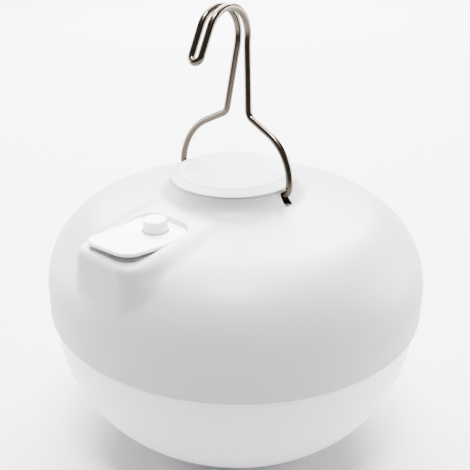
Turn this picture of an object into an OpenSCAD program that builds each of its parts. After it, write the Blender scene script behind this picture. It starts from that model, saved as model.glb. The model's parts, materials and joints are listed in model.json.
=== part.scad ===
// Cherry-shaped floating lamp: a domed housing over a translucent bowl, a folding wire hook on the neck,
// and a pod on the shoulder that carries the push button and the charging port under its flap.
// Origin: middle of the flat base. +Z up, the pod points to -Y, the hook turns about a line along X.

/* [Body] */
// Overall diameter, at the lower lip of the housing
body_d = 200; // [180:1:240]
// Height of the joint between bowl and housing above the base
seam_z = 77; // [68:1:92]
// Wall of the housing
shell_t = 2.4; // [1.8:0.1:3]
// Wall of the bowl
bowl_t = 2.0; // [1.5:0.1:2.6]

/* [Dome] */
// Mould draft of the housing's side, in degrees
draft = 1.1; // [0.5:0.1:2]
// Height of the nearly upright side above the joint
side_h = 14; // [8:1:20]
// Radius of the shoulder
shoulder_r = 40.8; // [34:0.1:44]
// Slope of the top between shoulder and neck, in degrees
top_slope = 12; // [8:0.5:16]
// Radius of the hollow curve that runs up to the neck
flare_r = 9.2; // [8:0.1:13]
// Diameter of the neck under the cap
neck_d = 64.8; // [62:0.1:72]
// Thickness of the plate that closes the neck
neck_plate_t = 1.6; // [1.4:0.1:2.5]

/* [Bowl] */
// Step from the housing's lip in to the bowl's side
lip_step = 2.4; // [1.5:0.1:3.5]
// Height of the bowl's upright side
bowl_side_h = 4.5; // [3:0.5:8]
// Radius of the bowl's upper curve
bowl_curve_r = 89.3; // [70:0.1:110]
// Angle over which the upper curve runs, in degrees
bowl_curve_a = 15.2; // [8:0.1:20]
// Height of the bowl's collar inside the housing
collar_h = 5; // [4:0.5:8]
// Clearance between the collar and the housing's wall
collar_gap = 1.2; // [0.9:0.1:1.8]
// Height of the seal's visible edge
seal_h = 1.5; // [1:0.1:2.2]
// How far the seal stands out past the bowl
seal_out = 1.3; // [0.6:0.1:1.8]

/* [Cap] */
// Diameter of the cap's lower edge
cap_d = 66; // [65:0.1:74]
// Diameter of the cap's flat top
cap_top_d = 54.8; // [44:0.1:60]
// Height of the cap above the neck
cap_h = 3.0; // [2:0.1:5]
// Diameter of the hole for the cap's snap ring
cap_hole_d = 35.6; // [28:0.1:38]

/* [Hook] */
// Diameter of the hook's wire
wire_d = 3.5; // [3:0.1:4]
// Distance of the bail's feet from the middle, to the wire's middle
leg_x = 35.2; // [35:0.1:36]
// Radius of the bail, from its feet up over the cap
bail_r = 27; // [20:0.5:32]
// Angle the bail turns through before its straight run, in degrees
bail_a = 63.5; // [50:0.5:75]
// Depth of the pivot line below the top of the neck
pivot_drop = 3.5; // [3.3:0.1:4.5]
// Radius of the bend into the pivot
pivot_bend_r = 4; // [3.6:0.1:4.4]
// Radius of the bend from the bail up into the shank
kink_r = 5; // [4:0.1:8]
// Height of the hook's upper bend above the pivot line
shank_h = 71.9; // [60:0.1:90]
// Radius of the hook's upper bend
hook_r = 14.2; // [11:0.1:20]
// Lean of the two shank wires towards each other, in degrees
shank_taper = 6.9; // [4:0.1:9]
// Radius of the curve that straightens the shank wires
ease_r = 40; // [30:1:60]
// Half the distance between the two wires at the tip
tip_x = 2.9; // [2.6:0.1:3.5]
// Angle of the hook's nose from straight down, in degrees
nose_a = 22; // [10:1:30]
// Length of the hook's straight nose
nose_l = 13.4; // [8:0.1:20]
// Backward lean of the hook where it is stored, in degrees
hook_lean = 5.6; // [0:0.1:8]
// Running clearance of the wire in its bushes, on the radius
wire_gap = 0.05; // [0.02:0.01:0.1]
// Room in the neck's slots on each side of the wire
slot_gap = 0.85; // [0.6:0.05:1.2]
// Room in the slot under the wire
slot_play = 2.4; // [1.5:0.1:3]

/* [Pod] */
// Width of the pod
pod_w = 41; // [38:1:50]
// Distance from the pod's face to the edge of the body
pod_inset = 7.6; // [5:0.1:10]
// Radius of the pod's upright corners
pod_corner_r = 8; // [6:0.5:10]
// Radius of the edge round the pod's top
pod_edge_r = 3.5; // [2:0.5:5]
// Thickness of the pod's deck
deck_t = 2; // [1.6:0.1:3]
// Height of the deck above the joint
deck_h = 54.8; // [52:0.1:66]
// Depth of the skirt that the deck carries inside the dome
pod_skirt = 7.4; // [5:0.1:10]

/* [Port cover] */
// Width of the silicone cover
cover_w = 31.6; // [28:0.1:34]
// Length of the silicone cover
cover_l = 43.1; // [40:0.1:46]
// Distance from the cover's outer end to the pod's face
cover_inset = 4; // [3:0.1:6]
// Thickness of the cover
cover_t = 2.0; // [1.5:0.1:2.4]
// Radius of the cover's corners
cover_r = 7.5; // [5:0.5:9]
// Clearance round the cover in its recess
cover_gap = 0.4; // [0.3:0.1:0.8]
// Width of the raised rim on the cover
rim_w = 1.0; // [0.8:0.1:1.5]
// Height of the raised rim
rim_h = 0.4; // [0.2:0.1:0.6]
// Distance from the button's middle to the hinge line of the flap
hinge_x = 8.3; // [8:0.1:10]
// Width of the groove along the hinge line
hinge_gap = 0.4; // [0.3:0.1:0.6]
// How far the flap stands open where it is stored, in degrees
flap_lift = 3.5; // [1:0.5:6]
// Width of the charging well
well_w = 13; // [12:0.5:15]
// Length of the charging well
well_l = 8; // [7.5:0.5:10]
// Depth of the plug on the flap's underside
plug_h = 0.6; // [0.4:0.1:1]

/* [Button] */
// Diameter of the button's lower edge
button_d = 12.8; // [11.5:0.1:13.2]
// Diameter of the button's top
button_top_d = 11.6; // [10:0.1:12]
// Height of the button's top above the deck
button_h = 7.2; // [6:0.1:9]
// Distance from the cover's inner end to the button's middle
button_in = 10.9; // [10:0.1:13]
// Travel of the button
button_travel = 0.8; // [0.5:0.1:1.2]
// Clearance round the button in its cover
button_gap = 0.4; // [0.2:0.1:0.6]
// Diameter of the button's stem
stem_d = 4.4; // [3.6:0.1:5]
// Clearance round the stem, on the radius
stem_gap = 0.3; // [0.1:0.05:0.4]
// Wire of the button's spring
spring_wire_d = 0.5; // [0.4:0.1:0.7]
// Turns of the button's spring
spring_turns = 3.5; // [2.5:0.5:5]

/* [Inside] */
// Thickness of the mounting plate
plate_t = 3; // [2:0.1:4]
// Height of the mounting plate's top below the joint
plate_drop = 4; // [3.5:0.1:8]
// Clearance between mounting plate and collar
plate_gap = 2; // [1:0.1:4]
// Number of bosses that the mounting plate hangs from
boss_n = 6; // [3:1:8]
// Diameter of the bosses
boss_d = 8; // [7:0.5:10]
// Thread diameter of the plate's screws
screw_d = 2.4; // [2:0.1:3]
// Diameter of a battery cell
cell_d = 18.5; // [18:0.1:21.5]
// Length of a battery cell
cell_l = 65; // [60:1:70]
// Thickness of the circuit boards
board_t = 1.6; // [1:0.1:2]
// Length of the main board
main_l = 70; // [60:1:76]
// Width of the main board
main_w = 36; // [32:1:40]
// Height of the main board's posts
post_h = 6; // [4:0.5:8]
// Outer diameter of the lamp board
lamp_d = 120; // [100:1:130]
// Hole in the lamp board
lamp_hole_d = 40; // [30:1:50]
// Number of lamps in the outer circle
lamp_n = 16; // [8:1:24]
// Diameter of the leads
lead_d = 2.4; // [1.6:0.1:3]

/* [Hidden] */

fine = 96;
coarse = 40;
eps = 0.01;

// Housing outline, worked out from the lip up to the neck
body_r = body_d / 2;
side_top = [body_r - side_h * tan(draft), seam_z + side_h];
shoulder_c = side_top - shoulder_r * [cos(draft), sin(draft)];
shoulder_end = shoulder_c + shoulder_r * [sin(top_slope), cos(top_slope)];
neck_r = neck_d / 2;
flare_x = neck_r + flare_r;
flare_foot = flare_x - flare_r * sin(top_slope);
neck_z = shoulder_end.y + (shoulder_end.x - flare_foot) * tan(top_slope) + flare_r * cos(top_slope);
cap_z = neck_z + cap_h;

// Bowl outline, worked out from the joint down to the base
bowl_r = body_r - lip_step;
curve_end_z = seam_z - bowl_side_h - bowl_curve_r * sin(bowl_curve_a);
belly_r = curve_end_z / (1 - sin(bowl_curve_a));
bowl_curve_x = bowl_r - bowl_curve_r;
belly_x = bowl_curve_x + (bowl_curve_r - belly_r) * cos(bowl_curve_a);
collar_r = body_r - shell_t - collar_gap;
collar_in_r = collar_r - bowl_t;

// Pod, cover and button
pod_y = body_r - pod_inset;
deck_z = seam_z + deck_h;
cover_out_y = pod_y - cover_inset;
cover_in_y = cover_out_y - cover_l;
pod_in_y = cover_in_y - 4;
button_y = cover_in_y + button_in;
hinge_y = button_y + hinge_x;
cover_top = deck_z + cover_t;
hinge_z = cover_top + rim_h;
well_y = (hinge_y + cover_out_y) / 2;
stem_end_z = deck_z - deck_t - 3.2;
clip_z = deck_z - deck_t - 0.1;
switch_top_z = stem_end_z - button_travel - 0.1;
switch_h = 3.5;
switch_pin_h = 1.0;
port_board_z = switch_top_z - switch_pin_h - switch_h;
port_post_y = cover_out_y - 5;
port_post_x = 12;
light_x = 11.4;
light_z = deck_z - 4.6;
light_d = 1.4;

// Hook
wire_r = wire_d / 2;
pivot_z = neck_z - pivot_drop;
slot_w = wire_d + 2 * slot_gap;
block_in_x = 24;
block_w = 10;
block_h = 6.4;
bush_r = 2.4;
flange_r = 3.2;
flange_t = 1;
slot_in_x = neck_r - shell_t - 0.6;
clip_t = 0.8;
trunnion_end_x = block_in_x - flange_t - clip_t - 1.2;
ease_start = [tip_x + ease_r * (1 - cos(shank_taper)), shank_h - ease_r * sin(shank_taper)];
bail_end = [leg_x - bail_r * (1 - cos(bail_a)), pivot_bend_r + bail_r * sin(bail_a)];
bail_dir = [-sin(bail_a), cos(bail_a)];
shank_dir = [-sin(shank_taper), cos(shank_taper)];
kink_cut = kink_r * tan((bail_a - shank_taper) / 2);
kink_corner = bail_end + bail_dir * cross(ease_start - bail_end, shank_dir) / cross(bail_dir, shank_dir);
kink_start = kink_corner - kink_cut * bail_dir;
kink_end = kink_corner + kink_cut * shank_dir;
kink_c = kink_start + kink_r * [cos(bail_a), sin(bail_a)];
nose = [-hook_r * (1 + cos(nose_a)), shank_h + hook_r * sin(nose_a)];
tip = nose - nose_l * [sin(nose_a), cos(nose_a)];
bead_cut = 0.12;

// Plate, boards and battery
plate_r = collar_in_r - plate_gap;
plate_z = seam_z - plate_drop - plate_t;
plate_top = plate_z + plate_t;
boss_ring_r = plate_r - boss_d;
screw_r = screw_d / 2;
thread_depth = 12;
reflector_t = 0.8;
lamp_z = plate_z - board_t;
lamp_size = 5;
lamp_h = 1.6;
cell_gap = 1;
cell_y0 = 8;
holder_floor = 1.6;
holder_wall = 2;
tab_t = 0.5;
cell_z = plate_top + holder_floor + cell_d / 2;
pack_w = 2 * cell_d + cell_gap;
pack_y = cell_y0 + pack_w / 2;
strap_t = 1.2;
strap_w = 12;
main_y = -12 - main_w / 2;
main_z = plate_top + post_h;
post_d = 6;
post_in = 5;
cable_hole = [14, -6];
plug_x = 21;

SHELL_WHITE = [0.90, 0.90, 0.90];
CAP_WHITE = [0.92, 0.92, 0.92];
BOWL_WHITE = [0.90, 0.90, 0.95];
SILICONE = [0.97, 0.97, 0.97];
SEAL_BEIGE = [0.86, 0.84, 0.79];
STEEL = [0.70, 0.69, 0.67];
BOARD_GREEN = [0.10, 0.40, 0.25];
DARK = [0.12, 0.12, 0.13];
CELL_BLUE = [0.20, 0.42, 0.70];

// Points of an arc about (x, y)
function arc(x, y, r, from, to, n = 24) =
    [for (i = [0:n]) let (a = from + (to - from) * i / n) [x + r * cos(a), y + r * sin(a)]];

// Section of the dome, moved in by t, with its top moved down by top
function dome_section(t, top, foot) =
    let (side_foot = shoulder_c + (shoulder_r - t) * [cos(draft), sin(draft)])
    let (stop = 180 + asin(top / (flare_r + t)))
    concat(
        [[0, seam_z - foot], [side_foot.x + (side_foot.y - seam_z + foot) * tan(draft), seam_z - foot]],
        arc(shoulder_c.x, shoulder_c.y, shoulder_r - t, draft, 90 - top_slope, 40),
        arc(flare_x, neck_z, flare_r + t, 270 - top_slope, stop, 20),
        [[0, neck_z - top]]
    );

// Places at equal angles round the Z axis
module around(n, r, start = 0) {
    for (i = [0:n - 1])
        rotate([0, 0, start + 360 * i / n])
            translate([r, 0, 0])
                children();
}

// Rectangle with round corners, centred
module round_rect(w, l, r) {
    square([w - 2 * r, l], center = true);
    square([w, l - 2 * r], center = true);
    for (x = [-1, 1], y = [-1, 1])
        translate([x * (w / 2 - r), y * (l / 2 - r)])
            circle(r, $fn = coarse);
}

// Flat ring
module ring(r_out, r_in, h) {
    difference() {
        cylinder(r = r_out, h = h, $fn = fine);
        translate([0, 0, -1])
            cylinder(r = r_in, h = h + 2, $fn = fine);
    }
}

// Pan-head screw standing on its head, thread up
module screw(head_r, head_h, shank_r, shank_l) {
    difference() {
        translate([0, 0, -head_h])
            cylinder(r = head_r, h = head_h, $fn = coarse);
        translate([0, 0, -head_h - eps])
            cylinder(r = head_r * 0.45, h = head_h * 0.6, $fn = 6);
    }
    cylinder(r = shank_r, h = shank_l, $fn = coarse);
}

// Upright puck with a rounded top edge; four of them span the pod
module pod_puck(r, edge, z0, z1) {
    translate([0, 0, z0])
        rotate_extrude($fn = 32)
            polygon(concat([[0, 0], [r, 0]], arc(r - edge, z1 - z0 - edge, edge, 0, 90, 5), [[0, z1 - z0]]));
}

module pod_form(t, z0, z1) {
    r = pod_corner_r - t;
    edge = max(pod_edge_r - t, 0.6);
    x = pod_w / 2 - pod_corner_r;
    hull()
        for (sx = [-1, 1], y = [-pod_y + pod_corner_r, -pod_in_y - pod_corner_r])
            translate([sx * x, y, 0])
                pod_puck(r, edge, z0, z1);
}

module pod_cavity() {
    pod_form(shell_t, seam_z + 10, deck_z - deck_t);
}

// The pod's walls and deck; inside the dome only a short skirt is left under the deck
module pod_walls() {
    difference() {
        pod_form(0, seam_z + 20, deck_z);
        pod_cavity();
        intersection() {
            rotate_extrude($fn = fine)
                polygon(dome_section(shell_t, neck_plate_t, 1));
            translate([0, 0, seam_z])
                cylinder(r = body_r, h = deck_h - pod_skirt, $fn = fine);
        }
    }
}

module cover_outline(grow) {
    translate([0, -(cover_in_y + cover_out_y) / 2])
        round_rect(cover_w + 2 * grow, cover_l + 2 * grow, cover_r + grow);
}

module upper_housing() {
    color(SHELL_WHITE)
        difference() {
            union() {
                difference() {
                    rotate_extrude($fn = fine)
                        polygon(dome_section(0, 0, 0));
                    rotate_extrude($fn = fine)
                        polygon(dome_section(shell_t, neck_plate_t, 1));
                    pod_cavity();
                }
                pod_walls();
                recess_wall();
                plate_bosses();
                port_posts();
                snap_ribs();
                for (side = [0, 180])
                    rotate([0, 0, side])
                        pivot_block();
            }
            housing_cuts();
        }
}

// Wall that joins the deck to the dome round the inner end of the cover's recess
module recess_wall() {
    intersection() {
        translate([0, 0, deck_z - deck_t])
            linear_extrude(neck_z - deck_z)
                cover_outline(cover_gap + shell_t);
        rotate_extrude($fn = fine)
            polygon(dome_section(shell_t / 2, neck_plate_t / 2, 1));
    }
}

module plate_bosses() {
    intersection() {
        around(boss_n, boss_ring_r)
            translate([0, 0, plate_top])
                cylinder(d = boss_d, h = neck_z, $fn = coarse);
        rotate_extrude($fn = fine)
            polygon(dome_section(shell_t / 2, neck_plate_t / 2, plate_drop + 1));
    }
}

module port_posts() {
    for (x = [-port_post_x, port_post_x])
        translate([x, -port_post_y, port_board_z])
            cylinder(d = 5, h = deck_z - deck_t / 2 - port_board_z, $fn = coarse);
}

// Ribs inside the lip that catch the bowl's collar
module snap_ribs() {
    around(boss_n, collar_r - 0.4, 180 / boss_n)
        translate([0, -4, seam_z + 2.4])
            cube([shell_t + 0.6, 8, 1.4]);
}

module pivot_block() {
    translate([block_in_x, -block_w / 2, neck_z - neck_plate_t - block_h])
        cube([neck_r - 1 - block_in_x, block_w, block_h + neck_plate_t / 2]);
}

module housing_cuts() {
    // Recess that the silicone cover lies in
    translate([0, 0, deck_z])
        linear_extrude(20)
            cover_outline(cover_gap);
    // Charging well and button hole through the deck
    translate([0, -well_y, deck_z - deck_t - 1])
        linear_extrude(deck_t + 2)
            round_rect(well_w, well_l, 2);
    translate([0, -button_y, deck_z - deck_t - 1])
        cylinder(r = stem_d / 2 + stem_gap, h = deck_t + 2, $fn = coarse);
    translate([light_x, -pod_y - 1, light_z])
        rotate([-90, 0, 0])
            cylinder(d = light_d, h = shell_t + 2, $fn = coarse);
    for (x = [-port_post_x, port_post_x])
        translate([x, -port_post_y, port_board_z - 1])
            cylinder(r = screw_r - 0.2, h = 7, $fn = coarse);
    around(boss_n, boss_ring_r)
        translate([0, 0, plate_top - 1])
            cylinder(r = screw_r, h = thread_depth + 1, $fn = coarse);
    // Hole for the cap's snap ring, and the groove for its seal
    translate([0, 0, neck_z - neck_plate_t - 1])
        cylinder(d = cap_hole_d, h = neck_plate_t + 2, $fn = fine);
    translate([0, 0, neck_z - 0.8])
        ring(28.5, 26.5, 2);
    for (side = [0, 180])
        rotate([0, 0, side]) {
            translate([block_in_x - 1, 0, pivot_z])
                rotate([0, 90, 0])
                    cylinder(r = bush_r, h = slot_in_x - block_in_x + 1.2, $fn = coarse);
            // Room for the bush's flange and the clip beside the cap's hole
            translate([cap_hole_d / 2 - 2, -4.2, neck_z - neck_plate_t - 1])
                cube([block_in_x - cap_hole_d / 2 + 2, 8.4, neck_plate_t + 2]);
            hook_slot();
        }
}

// Upright slot through the neck for one end of the hook
module hook_slot() {
    top = wire_r + 0.4;
    translate([slot_in_x, -slot_w / 2, pivot_z - wire_r - slot_play])
        cube([flare_r, slot_w, wire_r + slot_play + top]);
}

module top_cap() {
    snap_r = cap_hole_d / 2 - 0.2;
    barb_z = neck_z - neck_plate_t - 0.1;
    color(CAP_WHITE)
        difference() {
            union() {
                rotate_extrude($fn = fine)
                    polygon([
                        [0, neck_z], [cap_d / 2, neck_z], [cap_d / 2, neck_z + 0.4],
                        [cap_top_d / 2 + 0.4, cap_z - 0.1], [cap_top_d / 2, cap_z], [0, cap_z]
                    ]);
                rotate_extrude($fn = fine)
                    polygon([
                        [snap_r - 2, neck_z + eps], [snap_r, neck_z + eps], [snap_r, barb_z],
                        [snap_r + 0.8, barb_z], [snap_r + 0.8, barb_z - 0.8], [snap_r, barb_z - 3.4],
                        [snap_r - 2, barb_z - 3.4]
                    ]);
            }
            for (turn = [45, 135])
                rotate([0, 0, turn])
                    translate([-snap_r - 2, -3, barb_z - 4])
                        cube([2 * snap_r + 4, 6, neck_z - barb_z + 3.9]);
            translate([0, 0, cap_z - 0.4])
                ring(2.6, 1.2, 1);
        }
}

module cap_seal() {
    color(SEAL_BEIGE)
        translate([0, 0, neck_z - 0.8])
            ring(28.4, 26.6, 0.8);
}

// Arc of wire about the origin of the XY plane, a hair short at both ends where beads join it up
module wire_arc(r, from, to) {
    cut = asin(bead_cut / r);
    rotate([0, 0, from + cut])
        rotate_extrude(angle = to - from - 2 * cut, $fn = 60)
            translate([r, 0])
                circle(wire_r, $fn = 24);
}

// Straight wire from one point of the XZ plane to another
module wire_line(a, b) {
    d = b - a;
    translate([a.x, 0, a.y])
        rotate([0, atan2(d.x, d.y), 0])
            translate([0, 0, bead_cut])
                cylinder(r = wire_r, h = norm(d) - 2 * bead_cut, $fn = 24);
}

module bead(x, y, z) {
    translate([x, y, z])
        rotate([0, 0, 45])
            sphere(wire_r + 0.04, $fn = 32);
}

// One of the hook's two wires, from its pivot to the start of the nose
module half_hook() {
    wire_line([trunnion_end_x, 0], [leg_x - pivot_bend_r, 0]);
    bead(leg_x - pivot_bend_r, 0, 0);
    translate([leg_x - pivot_bend_r, 0, pivot_bend_r])
        rotate([90, 0, 0])
            wire_arc(pivot_bend_r, -90, 0);
    bead(leg_x, 0, pivot_bend_r);
    translate([leg_x - bail_r, 0, pivot_bend_r])
        rotate([90, 0, 0])
            wire_arc(bail_r, 0, bail_a);
    bead(bail_end.x, 0, bail_end.y);
    wire_line(bail_end, kink_start);
    bead(kink_start.x, 0, kink_start.y);
    translate([kink_c.x, 0, kink_c.y])
        rotate([90, 0, 0])
            wire_arc(kink_r, 180 + shank_taper, 180 + bail_a);
    bead(kink_end.x, 0, kink_end.y);
    wire_line(kink_end, ease_start);
    bead(ease_start.x, 0, ease_start.y);
    translate([tip_x + ease_r, 0, shank_h])
        rotate([90, 0, 0])
            wire_arc(ease_r, 180, 180 + shank_taper);
    bead(tip_x, 0, shank_h);
    translate([tip_x, -hook_r, shank_h])
        rotate([90, 0, -90])
            wire_arc(hook_r, nose_a, 180);
    bead(tip_x, nose.x, nose.y);
    translate([tip_x, nose.x, nose.y])
        rotate([180 - nose_a, 0, 0])
            translate([0, 0, bead_cut])
                cylinder(r = wire_r, h = nose_l - 2 * bead_cut, $fn = 24);
    bead(tip_x, tip.x, tip.y);
}

// The closed end where one wire turns back into the other
module hook_tip() {
    translate([0, tip.x, tip.y])
        rotate([-90 - nose_a, 0, 0])
            wire_arc(tip_x, 0, 180);
}

module hook_place() {
    translate([0, 0, pivot_z])
        rotate([-hook_lean, 0, 0])
            children();
}

module hook_wire() {
    color(STEEL)
        hook_place() {
            half_hook();
            mirror([1, 0, 0])
                half_hook();
            hook_tip();
        }
}

// Nylon bush pressed into each pivot block, flange inside
module hook_bushes() {
    color(SILICONE)
        for (side = [0, 180])
            rotate([0, 0, side])
                translate([block_in_x - flange_t, 0, pivot_z])
                    rotate([0, 90, 0])
                        difference() {
                            union() {
                                cylinder(r = flange_r, h = flange_t, $fn = coarse);
                                cylinder(r = bush_r - 0.02, h = flange_t + slot_in_x - block_in_x, $fn = coarse);
                            }
                            translate([0, 0, -1])
                                cylinder(r = wire_r + wire_gap, h = 10, $fn = coarse);
                        }
}

// Star washers that stop the wire ends from pulling out
module hook_clips() {
    color(STEEL)
        for (side = [0, 180])
            rotate([0, 0, side])
                translate([block_in_x - flange_t - clip_t - 0.1, 0, pivot_z])
                    rotate([0, 90, 0])
                        difference() {
                            cylinder(r = 3, h = clip_t, $fn = coarse);
                            translate([0, 0, -1])
                                cylinder(r = wire_r + 0.02, h = 3, $fn = coarse);
                        }
}

// Raised rim that runs round the cover, cut back to one side of the hinge line
module cover_part(y_from, y_to, z, h) {
    intersection() {
        union() {
            translate([0, 0, z])
                linear_extrude(h)
                    cover_outline(0);
            translate([0, 0, cover_top - eps])
                linear_extrude(rim_h + eps)
                    difference() {
                        cover_outline(-1.4);
                        cover_outline(-1.4 - rim_w);
                    }
        }
        translate([-cover_w, -y_to, deck_z - 5])
            cube([2 * cover_w, y_to - y_from, 20]);
    }
}

module cover_pad() {
    color(SILICONE)
        difference() {
            cover_part(cover_in_y - 1, hinge_y - hinge_gap / 2, deck_z, cover_t);
            translate([0, -button_y, deck_z - 1])
                cylinder(r = button_d / 2 + button_gap, h = 10, $fn = coarse);
        }
}

module port_flap() {
    seat_gap = 0.1;
    color(SILICONE)
        translate([0, -hinge_y, hinge_z])
            rotate([-flap_lift, 0, 0])
                translate([0, hinge_y, -hinge_z]) {
                    cover_part(hinge_y + hinge_gap / 2, cover_out_y + 1, deck_z + seat_gap, cover_t - seat_gap);
                    translate([0, -well_y, deck_z + seat_gap - plug_h])
                        linear_extrude(plug_h + eps)
                            round_rect(well_w - 2, well_l - 2, 1);
                }
}

module power_button() {
    foot_z = deck_z + button_travel + 0.2;
    top_z = deck_z + button_h;
    edge = 1.0;
    roof_z = top_z - 1.8;
    color(SILICONE)
        translate([0, -button_y, 0])
            rotate_extrude($fn = fine)
                polygon(concat(
                    [[0, stem_end_z], [stem_d / 2 - 0.6, stem_end_z], [stem_d / 2 - 0.6, clip_z + 0.02],
                     [stem_d / 2, clip_z + 0.02], [stem_d / 2, roof_z], [button_d / 2 - 1.4, roof_z],
                     [button_d / 2 - 1.4, foot_z], [button_d / 2, foot_z]],
                    arc(button_top_d / 2 - edge, top_z - edge, edge, 0, 90, 6),
                    [[0, top_z]]
                ));
}

// Clip on the stem that stops the button at the top of its travel
module button_clip() {
    color(STEEL)
        translate([0, -button_y, clip_z - 0.8])
            ring(3.8, stem_d / 2 - 0.58, 0.8);
}

module button_spring() {
    z0 = deck_z + 0.02;
    rise = button_h - 1.8 - spring_wire_d - 0.04;
    r = button_d / 2 - 1.4 - spring_wire_d / 2 - 0.3;
    sides = 8;
    steps = 16;
    n = spring_turns * steps;
    w = spring_wire_d / 2;
    points = [
        for (i = [0:n], k = [0:sides - 1])
            let (a = 360 * i / steps)
            let (b = 360 * k / sides)
            [(r + w * cos(b)) * cos(a), (r + w * cos(b)) * sin(a), w + rise * i / n + w * sin(b)]
    ];
    faces = concat(
        [[for (k = [0:sides - 1]) k]],
        [for (i = [0:n - 1], k = [0:sides - 1])
            let (j = (k + 1) % sides)
            [i * sides + k, (i + 1) * sides + k, (i + 1) * sides + j, i * sides + j]],
        [[for (k = [sides - 1:-1:0]) n * sides + k]]
    );
    color(STEEL)
        translate([0, -button_y, z0])
            polyhedron(points = points, faces = faces);
}

module tact_switch() {
    color(DARK)
        translate([0, -button_y, port_board_z]) {
            translate([-3, -3, 0])
                cube([6, 6, switch_h]);
            cylinder(r = 1.7, h = switch_h + switch_pin_h, $fn = coarse);
        }
}

// Socket that faces up into the charging well
module charge_socket() {
    mouth_z = deck_z - 1;
    h = mouth_z - port_board_z;
    color(STEEL)
        translate([0, -well_y, port_board_z]) {
            difference() {
                linear_extrude(h)
                    round_rect(9.4, 3.8, 1.6);
                translate([0, 0, 1])
                    linear_extrude(h)
                        round_rect(8.6, 3.0, 1.3);
            }
            translate([-3.3, -0.35, 1 - eps])
                cube([6.6, 0.7, h - 2]);
        }
}

module socket_gasket() {
    color(SILICONE)
        translate([0, -well_y, deck_z - deck_t])
            linear_extrude(deck_t - 1)
                difference() {
                    round_rect(well_w - 0.1, well_l - 0.1, 1.95);
                    round_rect(9.5, 3.9, 1.65);
                }
}

module port_board() {
    y0 = button_y - 5;
    color(BOARD_GREEN)
        difference() {
            translate([-15, -port_post_y - 4, port_board_z - board_t])
                cube([30, port_post_y + 4 - y0, board_t]);
            for (x = [-port_post_x, port_post_x])
                translate([x, -port_post_y, port_board_z - board_t - 1])
                    cylinder(r = screw_r + 0.2, h = board_t + 2, $fn = coarse);
        }
}

module port_screws() {
    color(STEEL)
        for (x = [-port_post_x, port_post_x])
            translate([x, -port_post_y, port_board_z - board_t])
                screw(2, 1.4, screw_r - 0.22, board_t + 5);
}

// Light pipe behind the small hole in the pod's face
module status_light() {
    color(DARK)
        translate([light_x, -pod_y + 0.5, light_z])
            rotate([-90, 0, 0]) {
                cylinder(d = light_d - 0.06, h = shell_t + 1.5, $fn = coarse);
                translate([0, 0, shell_t - 0.5])
                    cylinder(d = 2.2, h = 2, $fn = coarse);
            }
}

// Soft ring between the bowl's shoulder and the housing's lip
module seal_ring() {
    in_r = collar_r + 0.1;
    rise_r = body_r - shell_t - 0.2;
    color(SEAL_BEIGE)
        rotate_extrude($fn = fine)
            polygon([
                [in_r, seam_z - seal_h], [bowl_r + seal_out - 0.3, seam_z - seal_h],
                [bowl_r + seal_out, seam_z - seal_h + 0.3], [bowl_r + seal_out, seam_z - 0.3],
                [bowl_r + seal_out - 0.3, seam_z], [rise_r, seam_z], [rise_r, seam_z + 1.2], [in_r, seam_z + 1.2]
            ]);
}

module diffuser_bowl() {
    side_z = seam_z - bowl_side_h;
    split = 360 - bowl_curve_a;
    inner_x = bowl_curve_x + bowl_curve_r - bowl_t;
    color(BOWL_WHITE)
        difference() {
            rotate_extrude($fn = fine)
                polygon(concat(
                    [[0, 0]],
                    arc(belly_x, belly_r, belly_r, 270, split, 32),
                    arc(bowl_curve_x, side_z, bowl_curve_r, split, 360, 12),
                    [[bowl_r, seam_z - seal_h], [collar_r, seam_z - seal_h], [collar_r, seam_z + collar_h],
                     [collar_in_r, seam_z + collar_h], [collar_in_r, side_z + 0.6], [inner_x, side_z - 0.6]],
                    arc(bowl_curve_x, side_z - 0.6, bowl_curve_r - bowl_t, 359, split, 10),
                    arc(belly_x, belly_r, belly_r - bowl_t, split - 1, 270, 32),
                    [[0, bowl_t]]
                ));
            // Windows in the collar for the housing's ribs
            around(boss_n, collar_r - bowl_t - 1, 180 / boss_n)
                translate([0, -4.5, seam_z + 1.9])
                    cube([bowl_t + 2, 9, 2.4]);
        }
}

// Plate that carries the battery and board above and the lamps below
module mounting_plate() {
    color(CAP_WHITE)
        difference() {
            union() {
                translate([0, 0, plate_z])
                    cylinder(r = plate_r, h = plate_t, $fn = fine);
                board_places()
                    translate([0, 0, plate_top - eps])
                        cylinder(d = post_d, h = post_h + eps, $fn = coarse);
            }
            around(boss_n, boss_ring_r)
                translate([0, 0, plate_z - 1])
                    cylinder(r = screw_r + 0.3, h = plate_t + 2, $fn = coarse);
            board_places()
                translate([0, 0, plate_top])
                    cylinder(r = 1, h = post_h + 1, $fn = coarse);
            around(3, lamp_d / 2 - 5, 30)
                translate([0, 0, plate_z - 1])
                    cylinder(r = screw_r - 0.2, h = plate_t + 2, $fn = coarse);
            strap_places()
                translate([0, 0, plate_z - 1])
                    cylinder(r = screw_r - 0.2, h = plate_t + 2, $fn = coarse);
            translate([cable_hole.x, cable_hole.y, plate_z - 1])
                cylinder(r = 4, h = plate_t + 2, $fn = coarse);
        }
}

module board_places() {
    for (x = [-1, 1], y = [-1, 1])
        translate([x * (main_l / 2 - post_in), main_y + y * (main_w / 2 - post_in), 0])
            children();
}

module strap_places() {
    for (y = [-1, 1])
        translate([0, pack_y + y * (pack_w / 2 + holder_wall + strap_t + 4.5), 0])
            children();
}

module plate_screws() {
    color(STEEL)
        around(boss_n, boss_ring_r)
            translate([0, 0, plate_z])
                screw(3, 2.2, screw_r - 0.02, plate_t + thread_depth - 1);
}

// White reflector round the lamp board
module reflector() {
    color(CAP_WHITE)
        difference() {
            translate([0, 0, plate_z - reflector_t])
                ring(plate_r - 1, lamp_d / 2 + 1, reflector_t);
            around(boss_n, boss_ring_r)
                translate([0, 0, plate_z - 2])
                    cylinder(r = 4, h = 3, $fn = coarse);
        }
}

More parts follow.
